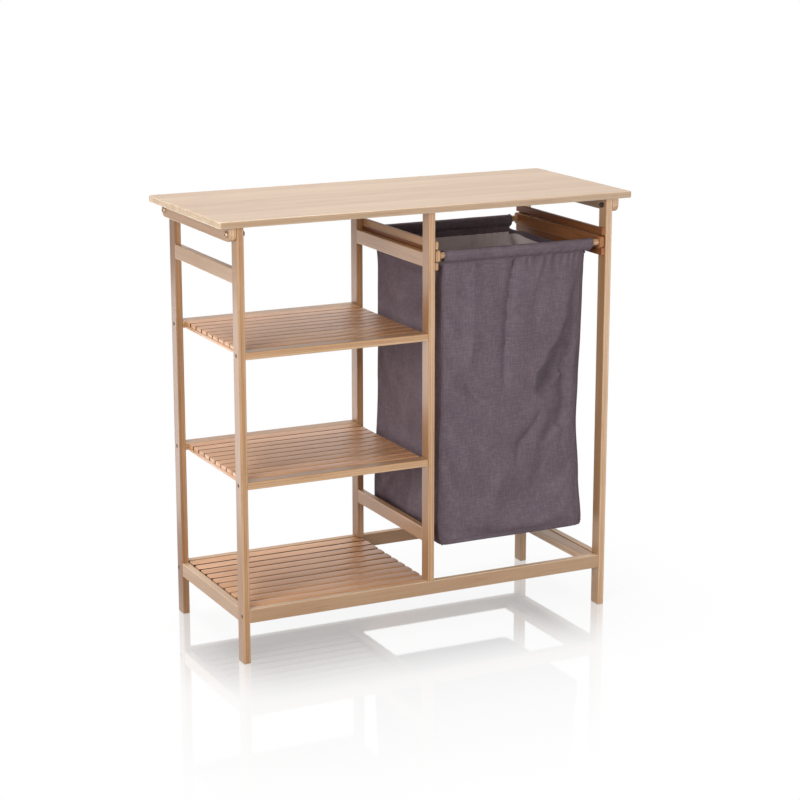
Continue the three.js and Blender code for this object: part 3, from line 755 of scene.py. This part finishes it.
def bag_mesh(bag):
    """The bag as one sewn surface: vertices, faces, their cloth coordinates, and its lines of stitching."""
    around, counts, starts, steps = bag.around, bag.counts, bag.starts, bag.steps
    vertices, faces, face_uv = [], [], []
    levels = bag.levels()
    for z, turn in levels:
        for place, outward, panel, s in bag.ring(z, turn):
            lift = bag.slack(panel, s, z) * (0.3 if turn else 1.0)
            rise = 0.0
            if panel % 2:
                rise = 9.0 * smooth(0, 30, min(s, bag.depth - s)) * smooth(bag.side_top - 60, bag.side_top, z)
            vertices.append(Vector((*(place + outward * lift), z + rise)))

    drop = 0.0
    for row in range(len(levels) - 1):
        fall = max(levels[row][0] - levels[row + 1][0], 3.0)
        for panel in range(4):
            for i in range(counts[panel]):
                a = starts[panel] + i
                b = (a + 1) % around
                here, below = row * around, (row + 1) * around
                faces.append((here + a, below + a, below + b, here + b))
                u = panel * PANEL_PITCH + i * steps[panel]
                right = u + steps[panel]
                face_uv.append([(u, -drop), (u, -drop - fall), (right, -drop - fall), (right, -drop)])
        drop += fall

    # The bottom panel joins the last ring. Its front edge is the ring's front side.
    last = (len(levels) - 1) * around
    wide, deep = counts[0], counts[1]
    grid = {}
    for i in range(wide + 1):
        for j in range(deep + 1):
            if j == 0:
                grid[i, j] = last + i
            elif i == wide:
                grid[i, j] = last + wide + j
            elif j == deep:
                grid[i, j] = last + starts[2] + wide - i
            elif i == 0:
                grid[i, j] = last + starts[3] + deep - j
            else:
                near, far = vertices[last + i], vertices[last + starts[2] + wide - i]
                sag = math.sin(math.pi * i / wide) * math.sin(math.pi * j / deep)
                vertices.append(near.lerp(far, j / deep) - Vector((0, 0, 4.0 * sag)))
                grid[i, j] = len(vertices) - 1
    for i in range(wide):
        for j in range(deep):
            faces.append((grid[i, j], grid[i, j + 1], grid[i + 1, j + 1], grid[i + 1, j]))
            u, v = BASE_START + i * steps[0], j * steps[1]
            face_uv.append([(u, v), (u, v + steps[1]), (u + steps[0], v + steps[1]), (u + steps[0], v)])

    # The seams, the three columns past the drawn-in corner and the bottom keep their shape when the cloth
    # settles. So do the hems, added here: above the side walls, the front and back run on up to the seam
    # and round the dowels.
    base = last - TURNED_RINGS * around
    held = [row * around + start for row in range(len(levels)) for start in starts]
    held.extend(range(base, len(vertices)))
    held.extend(row * around + starts[1] + i for row in range(len(levels)) for i in (1, 2, 3))
    hem_seams, hem_ends = [], []
    for end, panel in ((0, 0), (1, 2)):
        previous = [(starts[panel] + i) % around for i in range(wide + 1)]
        rise = 0.0
        outward = -1 if end == 0 else 1
        ends = []
        for k, (y, z) in enumerate(bag.hem(end)):
            row = []
            for i in range(wide + 1):
                share = i / wide if end == 0 else 1 - i / wide
                straight = mix(bag.hem_left, bag.hem_right, share)
                x = mix(vertices[previous[i]].x, straight, smooth(0, 4, k + 1))
                gathered = 0.2 + 0.8 * smooth(0.4, 0.6, share)
                pucker = uneven_wave(share, PUCKER_TURNS) * gathered * math.exp(-k * 0.3)
                slack = noise.noise(Vector((share * 12, k * 0.3, 3.3 + end))) * 0.7
                out = PUCKER_OUT * pucker + slack
                vertices.append(Vector((x, y + outward * out, z + PUCKER_UP * pucker)))
                row.append(len(vertices) - 1)
            top = rise + (vertices[row[3]] - vertices[previous[3]]).length
            for i in range(wide):
                faces.append((previous[i], previous[i + 1], row[i + 1], row[i]))
                u = panel * PANEL_PITCH + i * steps[0]
                face_uv.append([(u, rise), (u + steps[0], rise), (u + steps[0], top), (u, top)])
            if k == 0:
                hem_seams.append(row)
            previous, rise = row, top
            held.extend(row)
            ends.append((row[0], row[-1]))
        hem_ends.append(ends)

    lines = {"hem_seam_front": hem_seams[0], "hem_seam_rear": hem_seams[1]}
    for k, name in enumerate(("front_left", "front_right", "rear_right", "rear_left")):
        lines[f"seam_{name}"] = [row * around + starts[k] for row in range(len(levels))]
    for k, name in enumerate(("front", "right", "rear", "left")):
        lines[f"base_seam_{name}"] = [base + (starts[k] + i) % around for i in range(counts[k] + 1)]
        if k % 2:
            lines[f"top_binding_{name}"] = [(starts[k] + i) % around for i in range(counts[k] + 1)]
    for end, name in enumerate(("front", "rear")):
        for side in (0, 1):
            lines[f"hem_end_{name}_{side + 1}"] = [pair[side] for pair in hem_ends[end]]
    vertices = [v * MM for v in vertices]
    face_uv = [[(u * MM, v * MM) for u, v in corners] for corners in face_uv]
    return vertices, faces, face_uv, held, lines


def mesh_object(name, vertices, faces, face_uv):
    mesh = bpy.data.meshes.new(name)
    mesh.from_pydata([tuple(v) for v in vertices], [], faces)
    layer = mesh.uv_layers.new(name="cloth")
    layer.data.foreach_set("uv", [value for corners in face_uv for uv in corners for value in uv])
    mesh.update()
    return put_in_scene(name, mesh)


def settle(obj, held, cap):
    """Lets the walls of the sewn bag hang for a short while, and keeps each point within cap of its place."""
    start = [v.co.copy() for v in obj.data.vertices]
    group = obj.vertex_groups.new(name="held")
    group.add(held, 1.0, "REPLACE")
    cloth = obj.modifiers.new("hang", "CLOTH")
    settings = cloth.settings
    settings.quality = 5
    settings.mass = 0.3
    settings.air_damping = 4.0
    settings.tension_stiffness = 25
    settings.compression_stiffness = 25
    settings.shear_stiffness = 8
    settings.bending_stiffness = 6.0
    settings.vertex_group_mass = "held"
    settings.shrink_min = -0.008
    cloth.collision_settings.use_collision = False
    scene = bpy.context.scene
    last_frame = 28
    cloth.point_cache.frame_start = 1
    cloth.point_cache.frame_end = last_frame
    for frame_number in range(1, last_frame + 1):
        scene.frame_set(frame_number)
    graph = bpy.context.evaluated_depsgraph_get()
    hung = [v.co.copy() for v in obj.evaluated_get(graph).data.vertices]
    obj.modifiers.remove(cloth)
    obj.vertex_groups.clear()
    scene.frame_set(1)
    for vertex, old, new in zip(obj.data.vertices, start, hung):
        move = new - old
        if move.length > cap:
            move *= cap / move.length
        vertex.co = old + move


def crease(obj, bag):
    """Presses the creases into the walls, and sinks the cloth a little along its seams."""
    mesh = obj.data
    places = {}
    for loop, uv in zip(mesh.loops, mesh.uv_layers["cloth"].data):
        places.setdefault(loop.vertex_index, tuple(uv.uv))
    normals = [v.normal.copy() for v in mesh.vertices]
    for index, (u, v) in places.items():
        vertex = mesh.vertices[index]
        panel, s = divmod(u / MM, PANEL_PITCH)
        if panel > 3 or v > 24 * MM:
            continue
        length = bag.width if panel % 2 == 0 else bag.depth
        z = vertex.co.z / MM
        from_hem = max(v / MM, bag.side_top - z)
        near_seam = smooth(0, 16, min(s, length - s)) * smooth(bag.bottom + 2, bag.bottom + 26, z)
        groove = math.exp(-(min(s, length - s) / 5) ** 2) + math.exp(-((z - bag.bottom - 8) / 4) ** 2)
        gathers = 0.0
        if panel % 2 == 0:
            share = s / length if panel == 0 else 1 - s / length
            wave = uneven_wave(share, GATHER_TURNS)
            gathers = wave * (0.3 + 2.0 * smooth(0.4, 0.6, share)) * math.exp(-from_hem / GATHER_REACH)
            gathers -= 1.4 * math.exp(-((v / MM - STITCH_LINE) / 3.5) ** 2)
        if v > 0.5 * MM:
            vertex.co += normals[index] * gathers * MM
            continue
        sunk = 0.0
        if panel == 0:
            sunk = at_height(SUNK, z) * (1 - math.exp(-max(0.0, s - at_height(BEND, z)) / 34))
        lift = (crease_height(panel, s, z) + gathers - sunk) * near_seam - 0.9 * groove
        vertex.co += normals[index] * lift * MM


def face_inside(obj):
    """Turns the outer cloth over at the top of the inside, as the facings do. The lining is below."""
    mesh = obj.data
    uv = mesh.uv_layers["cloth"].data
    for polygon in mesh.polygons:
        if polygon.material_index == 0:
            continue
        places = [uv[i].uv for i in polygon.loop_indices]
        panel = int(places[0].x / MM / PANEL_PITCH)
        below = -sum(place.y for place in places) / len(places) / MM
        if panel < 4 and below < (8 if panel % 2 else 3):
            polygon.material_index = 0


def tube_along(name, points, radius):
    """A round cord of cloth along a line of points, as a mesh."""
    curve = bpy.data.curves.new(name, "CURVE")
    curve.dimensions = "3D"
    curve.bevel_depth = radius
    curve.bevel_resolution = 2
    curve.use_fill_caps = True
    spline = curve.splines.new("POLY")
    spline.points.add(len(points) - 1)
    for target, point in zip(spline.points, points):
        target.co = (*point, 1)
    activate(put_in_scene(name, curve))
    bpy.ops.object.convert(target="MESH")
    obj = bpy.context.object
    layer = obj.data.uv_layers.get("cloth") or obj.data.uv_layers.new(name="cloth")
    for loop in obj.data.loops:
        co = obj.data.vertices[loop.vertex_index].co
        layer.data[loop.index].uv = (co.x + co.y, co.z)
    bpy.ops.object.shade_smooth()
    return obj


WIDE_TRIMS = {"seam_front_left": 1.5, "top_binding_left": 1.6, "top_binding_right": 1.6}   # radius in mm


class SORTER_OT_bag(bpy.types.Operator):
    """Model the laundry bag: a sewn linen-look bag that hangs from two dowels by its hems"""
    bl_idname = "sorter.bag"
    bl_label = "Laundry bag"

    def execute(self, context):
        sizes = context.scene.sorter_sizes
        bag = Bag(sizes.cloth_step)
        vertices, faces, face_uv, held, lines = bag_mesh(bag)
        body = mesh_object("bag_cloth", vertices, faces, face_uv)
        settle(body, held, 12 * MM)
        outer = linen("mauve_linen", OUTER_TONES, 0.40)
        lining = linen("grey_lining", LINING_TONES, 0.3)
        body.data.materials.append(outer)
        body.data.materials.append(lining)
        activate(body)
        apply_modifier(body, "SUBSURF", levels=1, render_levels=1)
        crease(body, bag)
        sewn = {name: [body.data.vertices[i].co + body.data.vertices[i].normal * 0.3 * MM for i in line]
                for name, line in lines.items()}
        apply_modifier(body, "SOLIDIFY", thickness=sizes.cloth_thickness, offset=-1, material_offset=1,
                       material_offset_rim=0)
        face_inside(body)
        bpy.ops.object.shade_smooth_by_angle(angle=math.radians(70))
        trims = []
        for name, line in sewn.items():
            trims.append(tube_along(f"bag_{name}", line, WIDE_TRIMS.get(name, 0.9) * MM))
        for trim in trims:
            dress(trim, outer)
        for piece in [body, *trims]:
            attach(piece, "carriage")
        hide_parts("bag")

        # The cut is a cross: front, bottom and back in one strip with a hem at each end, and the two sides.
        return {"FINISHED"}


# ---- Stage: floor, lights and camera ----

def studio_floor():
    """A glossy white studio floor. Close to the object it shows a shadow and a clear mirror image.

    It is white where it is seen or mirrored, and mid grey for the light that it throws back at the object.
    """
    deselect()
    bpy.ops.mesh.primitive_plane_add(size=60, location=(0, 0, -0.3 * MM))
    floor = bpy.context.object
    floor.name = "studio_floor"
    material = blank_material("white_acrylic_floor")
    tree = material.node_tree

    # How far a place on the floor is outside the feet, in metres.
    place = add_node(tree, "ShaderNodeTexCoord").outputs["Object"]
    axes = add_node(tree, "ShaderNodeSeparateXYZ", {}, {0: place})
    beyond = {}
    for i, half in enumerate((0.30, 0.10)):
        from_middle = math_node(tree, "ABSOLUTE", axes.outputs[i])
        beyond[i] = math_node(tree, "MAXIMUM", math_node(tree, "SUBTRACT", from_middle, half))
    beyond = add_node(tree, "ShaderNodeCombineXYZ", {}, beyond).outputs[0]
    away = add_node(tree, "ShaderNodeVectorMath", {"operation": "LENGTH"}, {0: beyond}).outputs["Value"]

    def fading(strength, reach):
        """Strongest under the object, and gone at reach metres from it."""
        return add_node(tree, "ShaderNodeMapRange", {"interpolation_type": "SMOOTHSTEP"}, {
            "Value": away, "From Min": 0.0, "From Max": reach, "To Min": strength, "To Max": 0.0}).outputs[0]

    def mixed(share, first, second):
        return add_node(tree, "ShaderNodeMixShader", {}, {0: share, 1: first, 2: second}).outputs[0]

    grey = add_node(tree, "ShaderNodeBsdfDiffuse", {}, {0: linear("#A4A4A4")}).outputs[0]
    pale = add_node(tree, "ShaderNodeBsdfDiffuse", {}, {0: linear("#F0F0F0")}).outputs[0]
    white = add_node(tree, "ShaderNodeEmission", {}, {0: linear("#FFFFFF"), 1: 1.0}).outputs[0]
    mirror = add_node(tree, "ShaderNodeBsdfGlossy", {}, {0: linear("#FFFFFF"), "Roughness": 0.04}).outputs[0]
    shadowed = mixed(fading(0.18, 0.40), white, pale)
    shown = mixed(math_node(tree, "ADD", fading(0.38, 0.27), fading(0.10, 0.80)), shadowed, mirror)
    surface = mixed(seen_or_mirrored(tree), grey, shown)
    add_node(tree, "ShaderNodeOutputMaterial", {}, {0: surface})
    floor.data.materials.append(material)


def studio_world(strength):
    """White all round where it is seen or mirrored, and an even grey light elsewhere."""
    world = bpy.data.worlds.new("studio")
    bpy.context.scene.world = world
    world.use_nodes = True
    tree = world.node_tree
    tree.nodes.clear()
    room = add_node(tree, "ShaderNodeBackground", {}, {0: (1, 1, 1, 1), 1: strength})
    white = add_node(tree, "ShaderNodeBackground", {}, {0: (1, 1, 1, 1), 1: 1.0})
    both = add_node(tree, "ShaderNodeMixShader", {}, {
        0: seen_or_mirrored(tree), 1: room.outputs[0], 2: white.outputs[0]})
    add_node(tree, "ShaderNodeOutputWorld", {}, {0: both.outputs[0]})


def soft_box(name, azimuth, elevation, distance, width, height, power, colour):
    """A rectangular lamp that faces the middle of the object. Azimuth 0 is in front, and 90 to the right."""
    target = (CAD_BOX[0] + CAD_BOX[1]) / 2
    a, e = math.radians(azimuth), math.radians(elevation)
    way = Vector((math.sin(a) * math.cos(e), -math.cos(a) * math.cos(e), math.sin(e)))
    lamp = bpy.data.lights.new(name, "AREA")
    lamp.shape = "RECTANGLE"
    lamp.size = width
    lamp.size_y = height
    lamp.energy = power
    lamp.color = colour
    obj = put_in_scene(name, lamp)
    obj.location = target + way * distance
    obj.rotation_mode = "QUATERNION"
    obj.rotation_quaternion = (-way).to_track_quat("-Z", "Y")


# Name, azimuth and elevation in degrees, distance, width and height in metres, power in watts, and colour.
LAMPS = [
    ("card_rear_left", -137, -8.8, 0.911, 1.2, 0.5, 3.2, "side_light"),
    ("panel_left", -100, 10, 3.0, 2.4, 1.6, 10, "side_light"),
    ("panel_right", 90, 12, 3.0, 3.0, 2.4, 7, "side_light"),
    ("card_front_right", 42, -3, 2.0, 1.0, 0.6, 8.5, "front_light"),
    ("box_front_left", -50, 18, 3.6, 1.8, 1.6, 100, "front_light"),
    ("box_front", -5, 18, 3.6, 1.8, 1.6, 25, "front_light"),
    ("panel_above", 0, 88, 3.0, 3.0, 3.0, 60, "front_light"),
    ("panel_above_rear", 180, 60, 3.0, 3.0, 2.0, 54, "front_light"),
]

# A 100 mm lens, 4.2 m from the object and a little above it, pointed down and to the right.
CAMERA_PLACE = (-1.7386, -3.5520, 1.3726)
CAMERA_DOWN, CAMERA_RIGHT = 13.81, 26.3


class SORTER_OT_stage(bpy.types.Operator):
    """Set up the white floor, the soft lights and the camera"""
    bl_idname = "sorter.stage"
    bl_label = "Stage"

    def execute(self, context):
        colours = context.scene.sorter_colours
        studio_floor()
        studio_world(colours.room_light)
        for name, *place, light in LAMPS:
            soft_box(name, *place, getattr(colours, light))
        camera = bpy.data.cameras.new("camera")
        camera.sensor_width = 36
        camera.lens = 99.7
        camera.clip_start = 0.1
        camera.clip_end = 200
        obj = put_in_scene("camera", camera)
        obj.location = CAMERA_PLACE
        obj.rotation_euler = (math.radians(90 - CAMERA_DOWN), 0, math.radians(-CAMERA_RIGHT))
        context.scene.camera = obj
        context.scene.view_settings.view_transform = "Standard"
        return {"FINISHED"}


# ---- Sidebar ----

OPERATORS = [SORTER_OT_board, SORTER_OT_bars, SORTER_OT_shelves, SORTER_OT_carriage, SORTER_OT_fasteners,
             SORTER_OT_bag, SORTER_OT_stage]


class SORTER_PT_panel(bpy.types.Panel):
    """The laundry sorter's pieces, in the order they are made"""
    bl_idname = "SORTER_PT_panel"
    bl_label = "Laundry Sorter"
    bl_space_type = "VIEW_3D"
    bl_region_type = "UI"
    bl_category = "Laundry Sorter"

    def draw(self, context):
        for group in (context.scene.sorter_sizes, context.scene.sorter_colours):
            column = self.layout.column()
            for name in group.bl_rna.properties.keys():
                if name not in ("rna_type", "name"):
                    column.prop(group, name)
        for operator in OPERATORS:
            self.layout.operator(operator.bl_idname)


CLASSES = [SorterSizes, SorterColours, *OPERATORS, SORTER_PT_panel]


def register():
    for cls in CLASSES:
        bpy.utils.register_class(cls)
    bpy.types.Scene.sorter_sizes = bpy.props.PointerProperty(type=SorterSizes)
    bpy.types.Scene.sorter_colours = bpy.props.PointerProperty(type=SorterColours)


def unregister():
    del bpy.types.Scene.sorter_colours
    del bpy.types.Scene.sorter_sizes
    for cls in reversed(CLASSES):
        bpy.utils.unregister_class(cls)


def main():
    register()
    bpy.ops.sorter.board()
    bpy.ops.sorter.bars()
    bpy.ops.sorter.shelves()
    bpy.ops.sorter.carriage()
    bpy.ops.sorter.fasteners()
    bpy.ops.sorter.bag()
    bpy.ops.sorter.stage()


if __name__ == "__main__":
    main()
